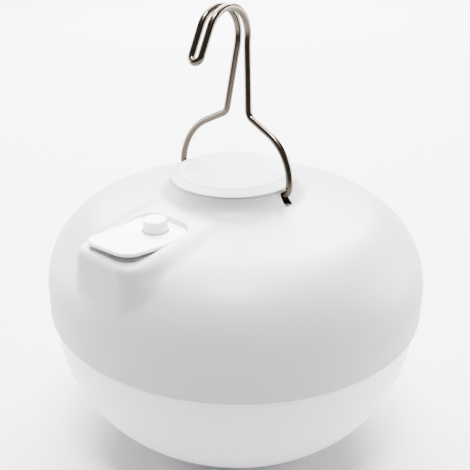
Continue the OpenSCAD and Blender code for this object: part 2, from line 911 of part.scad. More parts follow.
module lamp_board() {
    color(CAP_WHITE)
        difference() {
            translate([0, 0, lamp_z])
                ring(lamp_d / 2, lamp_hole_d / 2, board_t);
            around(3, lamp_d / 2 - 5, 30)
                translate([0, 0, lamp_z - 1])
                    cylinder(r = screw_r + 0.2, h = board_t + 2, $fn = coarse);
        }
}

// Surface-mounted lamps in two circles on the board's underside
module lamps() {
    color([0.98, 0.93, 0.60]) {
        around(lamp_n, lamp_d / 2 - 12)
            lamp();
        around(lamp_n / 2, lamp_hole_d / 2 + 8)
            lamp();
    }
}

module lamp() {
    translate([-lamp_size / 2, -lamp_size / 2, lamp_z - lamp_h])
        cube([lamp_size, lamp_size, lamp_h]);
}

module lamp_screws() {
    color(STEEL)
        around(3, lamp_d / 2 - 5, 30)
            translate([0, 0, lamp_z])
                screw(2.4, 1.6, screw_r - 0.22, board_t + 2.4);
}

module battery_holder() {
    inner_l = cell_l + 2 * tab_t + 0.4;
    outer_l = inner_l + 2 * holder_wall;
    outer_w = pack_w + 2 * holder_wall;
    h = holder_floor + cell_d * 0.7;
    color(DARK)
        translate([0, pack_y, plate_top])
            difference() {
                translate([-outer_l / 2, -outer_w / 2, 0])
                    cube([outer_l, outer_w, h]);
                translate([-inner_l / 2, -pack_w / 2 - 0.2, holder_floor])
                    cube([inner_l, pack_w + 0.4, h]);
            }
}

module battery_cells() {
    color(CELL_BLUE)
        for (i = [0, 1])
            translate([-cell_l / 2, cell_y0 + cell_d / 2 + i * (cell_d + cell_gap), cell_z])
                rotate([0, 90, 0]) {
                    cylinder(d = cell_d, h = cell_l - 1, $fn = fine);
                    translate([0, 0, cell_l - 1 - eps])
                        cylinder(d = 6, h = 1 + eps, $fn = coarse);
                }
}

module battery_tabs() {
    color(STEEL)
        for (x = [-cell_l / 2 - tab_t, cell_l / 2])
            translate([x, pack_y - pack_w / 2 + 4, cell_z - 4])
                cube([tab_t, pack_w - 8, 8]);
}

// Strap over the cells, with a foot on each side
module battery_strap() {
    in_w = pack_w + 2 * holder_wall + 0.4;
    h = holder_floor + cell_d + 0.2;
    foot_l = 9;
    color(STEEL)
        translate([-strap_w / 2, pack_y, plate_top])
            difference() {
                union() {
                    translate([0, -in_w / 2 - strap_t, 0])
                        cube([strap_w, in_w + 2 * strap_t, h + strap_t]);
                    translate([0, -in_w / 2 - strap_t - foot_l, 0])
                        cube([strap_w, in_w + 2 * strap_t + 2 * foot_l, strap_t]);
                }
                translate([-1, -in_w / 2, -1])
                    cube([strap_w + 2, in_w, h + 1]);
                translate([strap_w / 2, -pack_y, -1])
                    strap_places()
                        cylinder(r = screw_r + 0.2, h = strap_t + 2, $fn = coarse);
            }
}

module strap_screws() {
    color(STEEL)
        strap_places()
            translate([0, 0, plate_top + strap_t])
                rotate([180, 0, 0])
                    screw(2.4, 1.6, screw_r - 0.22, strap_t + plate_t - 0.4);
}

module main_board() {
    color(BOARD_GREEN)
        difference() {
            translate([-main_l / 2, main_y - main_w / 2, main_z])
                cube([main_l, main_w, board_t]);
            board_places()
                translate([0, 0, main_z - 1])
                    cylinder(r = 1.3, h = board_t + 2, $fn = coarse);
        }
}

// Coil, capacitors, chips, connectors and the remote-control receiver on the main board
module board_parts() {
    top = main_z + board_t;
    color(DARK)
        translate([0, main_y, top]) {
            translate([-14, -8, 0])
                cylinder(r = 5.5, h = 6, $fn = coarse);
            for (x = [16, 26])
                translate([x - 4, -8, 0])
                    cylinder(r = 4, h = 10, $fn = coarse);
            translate([-4, 2, 0])
                cube([9, 9, 1.6]);
            translate([10, 4, 0])
                cube([6, 5, 1.4]);
            for (x = [-plug_x - 4, plug_x - 4])
                translate([x, main_w / 2 - 7, 0])
                    cube([8, 6, 6]);
            translate([-3.5, -main_w / 2 + 0.5, 0])
                cube([7, 5.5, 6]);
        }
}

module board_screws() {
    color(STEEL)
        board_places()
            translate([0, 0, main_z + board_t])
                rotate([180, 0, 0])
                    screw(2.2, 1.4, 0.98, board_t + post_h - 2);
}

// Lead along straight runs with round elbows
module lead(points) {
    for (i = [0:len(points) - 2]) {
        d = points[i + 1] - points[i];
        translate(points[i])
            rotate([0, acos(d.z / norm(d)), atan2(d.y, d.x)])
                cylinder(d = lead_d, h = norm(d), $fn = 24);
    }
    for (i = [1:len(points) - 2])
        translate(points[i])
            rotate([0, 0, 45])
                sphere(d = 1.5 * lead_d, $fn = 32);
}

module battery_lead() {
    end_x = -(cell_l / 2 + tab_t + 0.2 + holder_wall);
    end_y = main_y + main_w / 2 - 4;
    y = cell_y0 + 6;
    color("red")
        lead([
            [end_x, y, plate_top + 9], [end_x - 5, y, plate_top + 9],
            [end_x - 5, end_y, main_z + board_t + 3], [-plug_x - 4, end_y, main_z + board_t + 3]
        ]);
}

module lamp_lead() {
    start = [plug_x, main_y + main_w / 2 - 1, main_z + board_t + 3];
    low = lamp_z - lead_d;
    end = cable_hole * (lamp_hole_d / 2 + 4) / norm(cable_hole);
    color("black")
        lead([
            start, [start.x, start.y + 3, start.z], [cable_hole.x, cable_hole.y, start.z],
            [cable_hole.x, cable_hole.y, low],
            [end.x, end.y, low], [end.x, end.y, lamp_z]
        ]);
}

module port_lead() {
    top = [0, -button_y + 3.8, port_board_z - board_t];
    foot = [0, main_y - main_w / 2 + 3.2, main_z + board_t + 6];
    color("black")
        lead([top, [top.x, top.y, top.z - 10], [foot.x, foot.y, foot.z + 10], foot]);
}

upper_housing();
top_cap();
cap_seal();
hook_wire();
hook_bushes();
hook_clips();
cover_pad();
port_flap();
power_button();
button_clip();
button_spring();
tact_switch();
charge_socket();
socket_gasket();
port_board();
port_screws();
status_light();
seal_ring();
diffuser_bowl();
mounting_plate();
plate_screws();
reflector();
lamp_board();
lamps();
lamp_screws();
battery_holder();
battery_cells();
battery_tabs();
battery_strap();
strap_screws();
main_board();
board_parts();
board_screws();
battery_lead();
lamp_lead();
port_lead();
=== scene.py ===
"""The floating lamp's looks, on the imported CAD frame. Lengths are in millimetres until a mesh is made."""

import json
import math

import bpy
import numpy as np
from mathutils import Matrix


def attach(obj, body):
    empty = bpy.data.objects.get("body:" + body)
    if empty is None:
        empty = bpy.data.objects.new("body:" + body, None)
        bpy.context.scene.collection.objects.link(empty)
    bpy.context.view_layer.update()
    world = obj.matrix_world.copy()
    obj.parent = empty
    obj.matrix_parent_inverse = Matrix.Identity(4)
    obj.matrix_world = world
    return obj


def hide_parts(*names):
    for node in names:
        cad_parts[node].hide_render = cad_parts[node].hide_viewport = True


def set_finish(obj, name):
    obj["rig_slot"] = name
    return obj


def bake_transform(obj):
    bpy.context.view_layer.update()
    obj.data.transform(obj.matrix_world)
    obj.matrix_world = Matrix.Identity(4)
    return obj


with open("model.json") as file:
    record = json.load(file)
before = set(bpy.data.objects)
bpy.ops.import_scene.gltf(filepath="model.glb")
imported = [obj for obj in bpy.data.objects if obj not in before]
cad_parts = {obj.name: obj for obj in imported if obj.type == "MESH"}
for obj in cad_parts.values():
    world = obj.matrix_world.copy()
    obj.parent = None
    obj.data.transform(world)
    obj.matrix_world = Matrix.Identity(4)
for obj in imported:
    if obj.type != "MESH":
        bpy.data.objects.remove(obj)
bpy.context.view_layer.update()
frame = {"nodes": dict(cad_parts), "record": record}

MM = 0.001
# Heights of the seam, the neck's top, the hook's pivot and the pod's deck
SEAM = 77.0
NECK_Z = 145.02
PIVOT_Z = NECK_Z - 3.5
DECK = 131.8
NECK_R = 32.4
# The pod points along -Y, so its sizes along that way are distances from the axis
POD_Y = 92.4
POD_HALF = 20.3
POD_CORNER = 8.5
POD_EDGE = 3.6
COVER_Y = (46.4, 88.4)
COVER_HALF = 15.5
COVER_CORNER = 7.5
BUTTON_Y = 56.2
WELL_Y = 76.45
FLAP_START = 63.4
# The dome's profile: shoulder arc, slope, flare up into the neck
SLOPE = math.radians(12)
SHOULDER_C = (58.94, 90.22)
SHOULDER_R = 40.8
SLOPE_START = (67.42, 130.13)
FLARE_C = (41.6, NECK_Z)
FLARE_R = 9.2
# Slots for the hook's ends, below and above the pivot, and half their width
SLOT_LOW = PIVOT_Z - 4.15
SLOT_HIGH = PIVOT_Z + 2.15
SLOT_HALF = 2.6
# Radius where the flare's foot meets the slope, as far as the slots' columns run straight
SLOT_RUN_R = 39.0


# ---------------------------------------------------------------- mesh helpers
def make(name, verts, faces, body, slot, stands_for=(), smooth=True):
    """A mesh piece from points in millimetres; it rides on a CAD body."""
    me = bpy.data.meshes.new(name)
    me.from_pydata([tuple(v) for v in np.asarray(verts, float) * MM], [], [tuple(map(int, f)) for f in faces])
    me.update()
    me.validate()
    if smooth:
        me.shade_smooth()
    ob = bpy.data.objects.new(name, me)
    bpy.context.scene.collection.objects.link(ob)
    if body:
        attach(ob, body)
    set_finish(ob, slot)
    if stands_for:
        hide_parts(*stands_for)
    return ob


def grid_faces(rows, cols):
    """Quads of a grid of points stored row by row, where each row is a closed ring."""
    out = []
    for i in range(rows - 1):
        for j in range(cols):
            k = (j + 1) % cols
            low, high = i * cols, (i + 1) * cols
            out.append((low + j, low + k, high + k, high + j))
    return out


def arc(cx, cz, r, start, end, n):
    a = np.radians(np.linspace(start, end, n + 1))
    return [(cx + r * math.cos(t), cz + r * math.sin(t)) for t in a]


def spread(points, step):
    """The same outline with its long straight runs cut into short ones."""
    out = [points[0]]
    for p, q in zip(points[:-1], points[1:]):
        n = max(1, int(math.ceil(math.dist(p, q) / step)))
        out += [(p[0] + (q[0] - p[0]) * i / n, p[1] + (q[1] - p[1]) * i / n) for i in range(1, n + 1)]
    return out


def revolve(profile, n, x=0.0, y=0.0):
    """Points and faces of a profile (radius, height) turned round an upright axis."""
    a = np.linspace(0, 2 * np.pi, n, endpoint=False)
    verts = []
    for r, z in profile:
        r = max(r, 0.0)
        verts += [(x + r * math.cos(t), y + r * math.sin(t), z) for t in a]
    return verts, [f[::-1] for f in grid_faces(len(profile), n)]


def round_rect(half_x, y0, y1, r, n_corner=14, n_side=(18, 30)):
    """Outline of a rectangle with round corners between two distances from the axis, anticlockwise."""
    pts = []
    x, inner, outer = half_x - r, -y0 - r, -y1 + r
    corners = ((x, inner, 0), (-x, inner, 90), (-x, outer, 180), (x, outer, 270))
    for i, (cx, cy, a0) in enumerate(corners):
        for k in range(n_corner + 1):
            a = math.radians(a0 + 90 * k / n_corner)
            pts.append((cx + r * math.cos(a), cy + r * math.sin(a)))
        nx, ny, na = corners[(i + 1) % 4]
        a = math.radians(na)
        q = (nx + r * math.cos(a), ny + r * math.sin(a))
        p = pts[-1]
        n = n_side[i % 2]
        pts += [(p[0] + (q[0] - p[0]) * k / n, p[1] + (q[1] - p[1]) * k / n) for k in range(1, n)]
    return np.array(pts)


# ---------------------------------------------------------------- housing
def dome_distance(r, z):
    """Signed distance to the dome's shoulder and slope."""
    dr, dz = r - SHOULDER_C[0], z - SHOULDER_C[1]
    shoulder = np.hypot(dr, dz) - SHOULDER_R
    slope = (r - SLOPE_START[0]) * math.sin(SLOPE) + (z - SLOPE_START[1]) * math.cos(SLOPE)
    return np.where(np.arctan2(dr, dz) > SLOPE, shoulder, slope)


def prism_distance(x, w, half_x, w0, w1, corner):
    """Signed distance to an upright prism with round corners; w is the distance along -Y."""
    qx = np.abs(x) - (half_x - corner)
    qy = np.abs(w - (w0 + w1) / 2) - ((w1 - w0) / 2 - corner)
    return np.hypot(np.maximum(qx, 0), np.maximum(qy, 0)) + np.minimum(np.maximum(qx, qy), 0) - corner


def round_join(a, b, r):
    """Two bodies joined with a fillet of that radius."""
    return np.maximum(r, np.minimum(a, b)) - np.hypot(np.maximum(r - a, 0), np.maximum(r - b, 0))


def round_meet(a, b, r):
    """What two bodies share, its edge rounded with that radius."""
    return np.minimum(-r, np.maximum(a, b)) + np.hypot(np.maximum(r + a, 0), np.maximum(r + b, 0))


def housing_distance(p):
    """Signed distance to the dome with its pod and the cover's recess."""
    x, w, z = p[..., 0], -p[..., 1], p[..., 2]
    dome = dome_distance(np.hypot(x, w), z)
    side = prism_distance(x, w, POD_HALF, 20.0, POD_Y, POD_CORNER)
    pod = round_meet(side, z - DECK, POD_EDGE)
    # The fillet is tight under the pod's face and wide along its sides and deck
    wide = np.clip((z - 110.0) / 14.0, 0, 1)
    body = round_join(dome, pod, 2.2 + 6.0 * wide * wide * (3 - 2 * wide))
    gap = 0.2
    recess = prism_distance(x, w, COVER_HALF + gap, COVER_Y[0] - gap, COVER_Y[1] + gap, COVER_CORNER + gap)
    recess = np.maximum(recess, DECK - z)
    return round_meet(body, -recess, 0.5)


def housing_profile():
    """The housing's outside from its lower lip up to the neck's rim."""
    flare = arc(FLARE_C[0], FLARE_C[1], FLARE_R, 258, 180, 26)
    lip = [(97.7, 84.0), (97.7, SEAM + 0.25), (97.95, SEAM)]
    lip += arc(99.5, SEAM + 0.45, 0.45, -90, -1.1, 6)
    shoulder = arc(SHOULDER_C[0], SHOULDER_C[1], SHOULDER_R, 1.1, 78, 150)
    slope = spread([shoulder[-1], flare[0]], 0.45)
    side = spread([lip[-1], shoulder[0]], 0.8)
    return lip + side[1:-1] + shoulder + slope[1:-1] + flare + [(NECK_R - 4, NECK_Z)]


def housing_columns():
    """Angles round the axis: fine at the pod and at the slots, coarser elsewhere."""
    beside = (0.9, 1.75, SLOT_HALF, 3.4, 4.2, 5.0)
    across = [-y for y in beside] + [0.0] + list(beside)
    slot = [math.degrees(math.asin(y / SLOT_RUN_R)) for y in across]
    cols = slot + [180 + s for s in slot]
    stretches = ((7.5, 172.6, 1.25), (187.5, 224, 1.25), (224, 243, 0.5), (243, 297.01, 0.24),
                 (297.5, 316.01, 0.5), (317.25, 352.6, 1.25))
    for start, end, step in stretches:
        cols += list(np.arange(start, end, step))
    return np.array(sorted({round(c % 360, 4) for c in cols}))


def housing():
    """The housing's shell, pushed out to the pod and cut open at the slots and the charging well."""
    prof = np.array(housing_profile())
    deg = housing_columns()
    R, PHI = np.meshgrid(prof[:, 0], np.radians(deg), indexing="ij")
    Z = np.repeat(prof[:, 1][:, None], len(deg), 1)
    # Near the two slots the columns run straight up, so that the slots' sides are parallel
    off = (PHI + np.pi / 2) % np.pi - np.pi / 2
    near = np.clip((np.radians(25) - np.abs(off)) / np.radians(16), 0, 1)
    near = near * near * (3 - 2 * near)
    straight = np.arcsin(np.clip(SLOT_RUN_R * np.sin(off) / np.clip(R, 30, SLOT_RUN_R), -1, 1))
    PHI = PHI + near * np.where(R < SLOT_RUN_R, straight - off, 0)
    P = np.stack([R * np.cos(PHI), R * np.sin(PHI), Z], -1)
    # Push the surface out to the pod along rays from a point inside it, and into the cover's recess
    core = np.array([0.0, -62.0, 98.0])
    pick = (np.abs(P[..., 0]) < 31) & (P[..., 1] < 0) & (R > 39.9) & (Z > 92) & (Z < 138)
    Q = P[pick]
    ray = Q - core
    reach = np.linalg.norm(ray, axis=1)
    ray /= reach[:, None]
    t = reach + 34.0
    for _ in range(140):
        d = housing_distance(core + ray * t[:, None])
        t = t - d * 0.96
    P[pick] = core + ray * t[:, None]
    rows, cols = R.shape
    verts = list(P.reshape(-1, 3))
    flat = P.reshape(-1, 3)
    faces = []
    cut_out = {1: [], -1: []}
    inner = NECK_R - 3.0
    for f in grid_faces(rows, cols):
        c = flat[list(f)].mean(0)
        in_neck = math.hypot(c[0], c[1]) < FLARE_C[0] - 1.0
        if in_neck and SLOT_LOW < c[2] < SLOT_HIGH and abs(c[1]) < SLOT_HALF:
            cut_out[1 if c[0] > 0 else -1].append(f)
            continue
        over_well = abs(c[0]) < 7.6 and abs(-c[1] - WELL_Y) < 5.2
        if not (over_well and abs(c[2] - DECK) < 0.2):
            faces.append(f)
    # Walls of the slots, straight in along X, coloured black as painted shade because no light gets to them
    walls, wall_faces = [], []
    for sign, gone in cut_out.items():
        edges = {}
        for f in gone:
            for a, b in zip(f, f[1:] + f[:1]):
                if (b, a) in edges:
                    del edges[(b, a)]
                else:
                    edges[(a, b)] = True
        for a, b in edges:
            n = len(walls)
            walls += [flat[a], flat[b]]
            walls += [np.array([sign * inner, flat[k][1], flat[k][2]]) for k in (b, a)]
            wall_faces.append((n + 3, n + 2, n + 1, n))
    make("slot_walls_painted_shade", walls, wall_faces, "body", "black_plastic", smooth=False)
    return make("shell", verts, [f[::-1] for f in faces], "body", "housing_plastic", ["upper_housing"])


def slot_backs_painted_shade():
    """Dark inner faces that close the two slots behind the wire: painted shade, black where the slots' inside
    is in shadow.
    """
    verts, faces = [], []
    for sign in (1, -1):
        n = len(verts)
        y, low, high = SLOT_HALF + 0.05, SLOT_LOW - 0.35, SLOT_HIGH + 0.35
        for x in (sign * (NECK_R - 2.95), sign * (NECK_R - 3.55)):
            verts += [(x, -y, low), (x, y, low), (x, y, high), (x, -y, high)]
        quads = [(0, 1, 2, 3), (7, 6, 5, 4), (0, 4, 5, 1), (1, 5, 6, 2), (2, 6, 7, 3), (3, 7, 4, 0)]
        faces += [tuple(n + k for k in (q if sign > 0 else q[::-1])) for q in quads]
    return make("slot_backs_painted_shade", verts, faces, "body", "black_plastic", smooth=False)


def deck_seat():
    """The deck under the cover, with the charging well in it."""
    z = DECK + 0.04
    well = round_rect(6.5, WELL_Y - 4.0, WELL_Y + 4.0, 2.0, 8, (8, 14))
    angle = np.arctan2(well[:, 1] + WELL_Y, well[:, 0])
    outward = np.stack([np.cos(angle), np.sin(angle)], 1)
    rings = [(well, DECK - 2.0), (well, z - 0.15), (well + 0.12 * outward, z)]
    # The seat's edge is found along rays from the well's middle
    outer = []
    for d in outward:
        t = 12.0
        for _ in range(60):
            p = d * t + (0, -WELL_Y)
            t -= 0.9 * float(prism_distance(p[0], -p[1], COVER_HALF - 1.4, 64.0, COVER_Y[1] - 1.0, 6.0))
        outer.append(d * t + (0, -WELL_Y))
    outer = np.array(outer)
    for k in (0.33, 0.66, 1.0):
        rings.append((rings[2][0] * (1 - k) + outer * k, z))
    rings.append((outer, z - 0.3))
    verts = [(p[0], p[1], h) for ring, h in rings for p in ring]
    faces = grid_faces(len(rings), len(well))
    return make("deck_seat", verts, faces, "body", "housing_plastic", smooth=False)


# ---------------------------------------------------------------- cap, bowl, seal
def cap():
    """The chamfered cap on the neck, with the round mark in its middle."""
    z0, z1 = NECK_Z + 0.02, NECK_Z + 3.0
    prof = [(0.0, z0), (31.8, z0), (32.55, z0)]
    prof += arc(32.45, z0 + 0.28, 0.25, -60, 28, 5)
    prof += spread([prof[-1], (27.75, z1 - 0.28)], 0.8)[1:]
    prof += arc(27.2, z1 - 0.55, 0.55, 40, 90, 5)
    prof += spread([prof[-1], (3.6, z1 - 0.06)], 1.5)[1:]
    mark = ((2.6, 0.08), (2.1, 0.2), (1.75, 0.42), (1.35, 0.5), (1.05, 0.32), (0.8, 0.12),
            (0.45, 0.06), (0.0, 0.05))
    prof += [(r, z1 - depth) for r, depth in mark]
    verts, faces = revolve(prof, 192)
    return make("cap", verts, faces, "body", "housing_plastic", ["top_cap"])


def bowl_profile():
    """Outside of the bowl from the base's middle up, over its rim, and back down inside."""
    br, side_z, curve_r, curve_a, wall = 97.6, SEAM - 4.45, 89.3, 15.2, 2.0
    s = math.sin(math.radians(curve_a))
    end_z = side_z - curve_r * s
    belly = end_z / (1 - s)
    cx = br - curve_r
    bx = cx + (curve_r - belly) * math.cos(math.radians(curve_a))
    out = [(0.0, 1.6), (bx - 6, 1.6), (bx - 4.6, 0.35), (bx - 3.6, 0.0), (bx, 0.0)]
    out += arc(bx, belly, belly, 270, 360 - curve_a, 90)[1:]
    out += arc(cx, side_z, curve_r, 360 - curve_a, 360, 24)[1:]
    out += [(br, SEAM - 1.75), (br - 0.2, SEAM - 1.52), (96.4, SEAM - 1.5), (96.4, SEAM + 5)]
    out += [(94.4, SEAM + 5), (94.4, side_z)]
    out += arc(cx, side_z, curve_r - wall, 360, 360 - curve_a, 20)
    out += arc(bx, belly, belly - wall, 360 - curve_a, 270, 60)[1:]
    return out + [(0.0, 1.6 + wall)]


def bowl():
    prof = spread(bowl_profile(), 3.0)
    verts, faces = revolve(prof, 256)
    return make("bowl", verts, faces, "body", "diffuser_plastic", ["diffuser_bowl"])


def seal():
    z0, z1, r = SEAM - 1.48, SEAM - 0.02, 98.75
    prof = [(96.45, z1), (96.45, z0), (98.3, z0)]
    prof += arc(r - 0.5, z0 + 0.5, 0.5, -80, 0, 5) + arc(r - 0.5, z1 - 0.5, 0.5, 0, 80, 5)
    prof += [(98.3, z1), (96.45, z1)]
    verts, faces = revolve(prof, 256)
    return make("seal", verts, faces, "body", "seal_rubber", ["seal_ring"])


# ---------------------------------------------------------------- cover, button, light
def cover_lift(x, w):
    """How high the flap's silicone stands off its seat where the lamp is stored; the near corner more."""
    s = np.clip((w - FLAP_START) / 25.0, 0, 1)
    s = np.where(s < 0.12, s * s / 0.24, s - 0.06)
    return s * (2.4 + 1.0 * x / COVER_HALF)


def cover():
    """The silicone cover: a raised rim round a dished panel, with a hole for the button."""
    outline = round_rect(COVER_HALF, COVER_Y[0], COVER_Y[1], COVER_CORNER, 16, (22, 44))
    centre = np.array([0.0, -BUTTON_Y])
    theta = np.arctan2(outline[:, 1] - centre[1], outline[:, 0] - centre[0])
    ray = np.stack([np.cos(theta), np.sin(theta)], 1)

    def inset(d):
        return round_rect(COVER_HALF - d, COVER_Y[0] + d, COVER_Y[1] - d, COVER_CORNER - d, 16, (22, 44))

    rings = []
    for r, h in ((6.6, 0.1), (6.45, 0.35), (6.45, 1.2), (6.55, 1.42), (6.8, 1.52)):
        rings.append((centre + ray * r, h))
    panel = inset(3.4)
    start = centre + ray * 7.1
    for k in np.linspace(0, 1, 30):
        dish = 1.54 - 0.14 * math.sin(math.pi * k)
        rings.append((start * (1 - k) + panel * k, dish))
    rim = ((3.0, 1.56), (2.6, 1.62), (2.3, 1.78), (2.05, 2.0), (1.6, 2.13), (1.0, 2.14), (0.6, 2.08),
           (0.3, 1.93), (0.1, 1.72), (0.0, 1.45), (0.0, 0.55), (0.12, 0.25), (0.4, 0.12))
    rings += [(inset(d), h) for d, h in rim]
    under = inset(1.4)
    back = centre + ray * 6.9
    for k in np.linspace(0, 1, 30):
        rings.append((under * (1 - k) + back * k, 0.1))
    rings.append((centre + ray * 6.6, 0.1))
    P = np.array([[(p[0], p[1], DECK + h) for p in ring] for ring, h in rings])
    P[..., 2] += cover_lift(P[..., 0], -P[..., 1])
    ob = make("cover", P.reshape(-1, 3), grid_faces(*P.shape[:2]), None, "silicone", ["cover_pad", "port_flap"])
    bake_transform(ob)
    return ob


def plug():
    """The low plug on the flap's underside."""
    rings = []
    for d, h in ((0.0, 0.3), (0.0, -0.15), (0.25, -0.4), (0.8, -0.42), (1.1, -0.1), (2.0, -0.05)):
        ring = round_rect(5.5 - d, WELL_Y - 3 + d, WELL_Y + 3 - d, max(2.2 - d, 0.2), 8, (6, 14))
        rings.append((ring, h))
    P = np.array([[(p[0], p[1], DECK + h) for p in ring] for ring, h in rings])
    P[..., 2] += cover_lift(P[..., 0], -P[..., 1])
    n = P.shape[1]
    faces = grid_faces(len(rings), n)
    faces.append(tuple(len(rings) * n - n + k for k in range(n)))
    return make("port_plug", P.reshape(-1, 3), faces, "flap", "silicone")


def button():
    """The push button with its two steps and its dished top."""
    z0, z1 = DECK + 0.95, DECK + 7.2
    prof = [(4.8, z0 + 4.2), (4.8, z0 + 0.2), (5.0, z0), (5.9, z0), (6.02, z0 + 0.15), (6.0, z0 + 2.4)]
    prof.append((5.8, z0 + 2.9))
    prof += spread([prof[-1], (5.62, z1 - 0.85)], 0.8)[1:]
    prof += arc(4.75, z1 - 0.87, 0.87, 4, 88, 9)
    prof += [(4.4, z1 - 0.02), (3.9, z1 - 0.14), (3.5, z1 - 0.34), (2.0, z1 - 0.42), (0.0, z1 - 0.44)]
    verts, faces = revolve(prof, 96, 0.0, -BUTTON_Y)
    return make("button_top", verts, faces, "button", "silicone")


def status_dot():
    """The small round light in the pod's face."""
    verts, n, x, drop = [], 24, 11.4, 4.6
    for r, out in ((0.75, 0.0), (0.7, 0.06), (0.35, 0.02), (0.0, 0.0)):
        for k in range(n):
            a = 2 * math.pi * k / n
            verts.append((x + r * math.cos(a), -POD_Y - out + 0.02, DECK - drop + r * math.sin(a)))
    return make("status_dot", verts, grid_faces(4, n), "body", "dark_lens", ["status_light"])


# ---------------------------------------------------------------- hook
def hook_path():
    """Middle line of the bent wire, upright on its pivot line."""
    leg_x, leg_h, bend, bail, turn = 35.2, 4.0, 4.0, 27.0, math.radians(63.5)
    kink, taper, ease, tip_x = 5.0, math.radians(6.9), 40.0, 2.9
    shank_z, top_r, nose, nose_l = 71.9, 14.2, math.radians(22), 13.4
    bail_end = np.array([leg_x - bail * (1 - math.cos(turn)), leg_h + bail * math.sin(turn)])
    bail_dir = np.array([-math.sin(turn), math.cos(turn)])
    shank_dir = np.array([-math.sin(taper), math.cos(taper)])
    es = np.array([tip_x + ease * (1 - math.cos(taper)), shank_z - ease * math.sin(taper)])
    gap = es - bail_end
    across = bail_dir[0] * shank_dir[1] - bail_dir[1] * shank_dir[0]
    run = (gap[0] * shank_dir[1] - gap[1] * shank_dir[0]) / across
    cut = kink * math.tan((turn - taper) / 2)
    corner = bail_end + bail_dir * run
    ks, ke = corner - bail_dir * cut, corner + shank_dir * cut
    kc = ks + kink * np.array([math.cos(turn), math.sin(turn)])
    deg_turn, deg_taper = math.degrees(turn), math.degrees(taper)
    flat = spread([(21.0, 0.0), (leg_x - bend, 0.0)], 1.0)
    flat += arc(leg_x - bend, bend, bend, -90, 0, 14)[1:]
    flat += arc(leg_x - bail, leg_h, bail, 0, deg_turn, 40)
    flat += spread([flat[-1], tuple(ks)], 1.0)[1:]
    flat += arc(kc[0], kc[1], kink, 180 + deg_turn, 180 + deg_taper, 10)[1:]
    flat += spread([tuple(ke), tuple(es)], 1.0)[1:]
    flat += arc(tip_x + ease, shank_z, ease, 180 + deg_taper, 180, 5)[1:]
    path = [(x, 0.0, z) for x, z in flat]
    loop = arc(0, 0, top_r, 0, 180 - math.degrees(nose), 46)[1:]
    path += [(tip_x, -top_r + c, shank_z + s) for c, s in loop]
    ny, nz = -top_r * (1 + math.cos(nose)), shank_z + top_r * math.sin(nose)
    d = (-math.sin(nose), -math.cos(nose))
    path += [(tip_x, ny + d[0] * nose_l * k / 14, nz + d[1] * nose_l * k / 14) for k in range(1, 15)]
    ty, tz = ny + d[0] * nose_l, nz + d[1] * nose_l
    tip = [(c, ty + d[0] * s, tz + d[1] * s) for c, s in arc(0, 0, tip_x, 0, 180, 16)[1:-1]]
    half = np.array(path)
    return np.vstack([half, np.array(tip), (half * (-1, 1, 1))[::-1]])


def tube(path, radius, n):
    """Points and faces of a wire of that radius along a path, with its ends rounded off."""
    tangent = np.gradient(path, axis=0)
    tangent /= np.linalg.norm(tangent, axis=1)[:, None]
    up = np.cross(tangent[0], (0.0, 1.0, 0.3))
    up /= np.linalg.norm(up)
    a = np.linspace(0, 2 * np.pi, n, endpoint=False)
    verts = []
    count = len(path)
    ends = [(0, 0.0, 0.0), (0, 0.55, 0.02), (0, 0.92, 0.25), (0, 1.0, 0.6)]
    for i in range(count):
        up = up - tangent[i] * np.dot(up, tangent[i])
        up /= np.linalg.norm(up)
        side = np.cross(tangent[i], up)
        ring = np.cos(a)[:, None] * up + np.sin(a)[:, None] * side
        if i == 0:
            for _, k, shift in ends:
                verts.append(path[0] + tangent[0] * shift + ring * radius * k)
        elif i == count - 1:
            for _, k, shift in ends[::-1]:
                verts.append(path[-1] - tangent[-1] * shift + ring * radius * k)
        else:
            verts.append(path[i] + ring * radius)
    return np.vstack(verts), grid_faces(len(verts), n)


def hook():
    """The folding hook, which leans back a little where it is stored."""
    wire_r = 1.75
    lean = math.radians(5.6)
    path = hook_path()
    y, z = path[:, 1].copy(), path[:, 2].copy()
    path[:, 1] = y * math.cos(lean) + z * math.sin(lean)
    path[:, 2] = -y * math.sin(lean) + z * math.cos(lean) + PIVOT_Z
    verts, faces = tube(path, wire_r, 32)
    return make("hook", verts, faces, "hook", "stainless_wire", ["hook_wire"])


# ---------------------------------------------------------------- materials
def noise(tree, scale, detail):
    """Noise in the object's own space; gives its strength's socket."""
    where = tree.nodes.new("ShaderNodeTexCoord")
    grains = tree.nodes.new("ShaderNodeTexNoise")
    grains.inputs["Scale"].default_value = scale
    grains.inputs["Detail"].default_value = detail
    tree.links.new(where.outputs["Object"], grains.inputs["Vector"])
    return grains.outputs["Fac"]


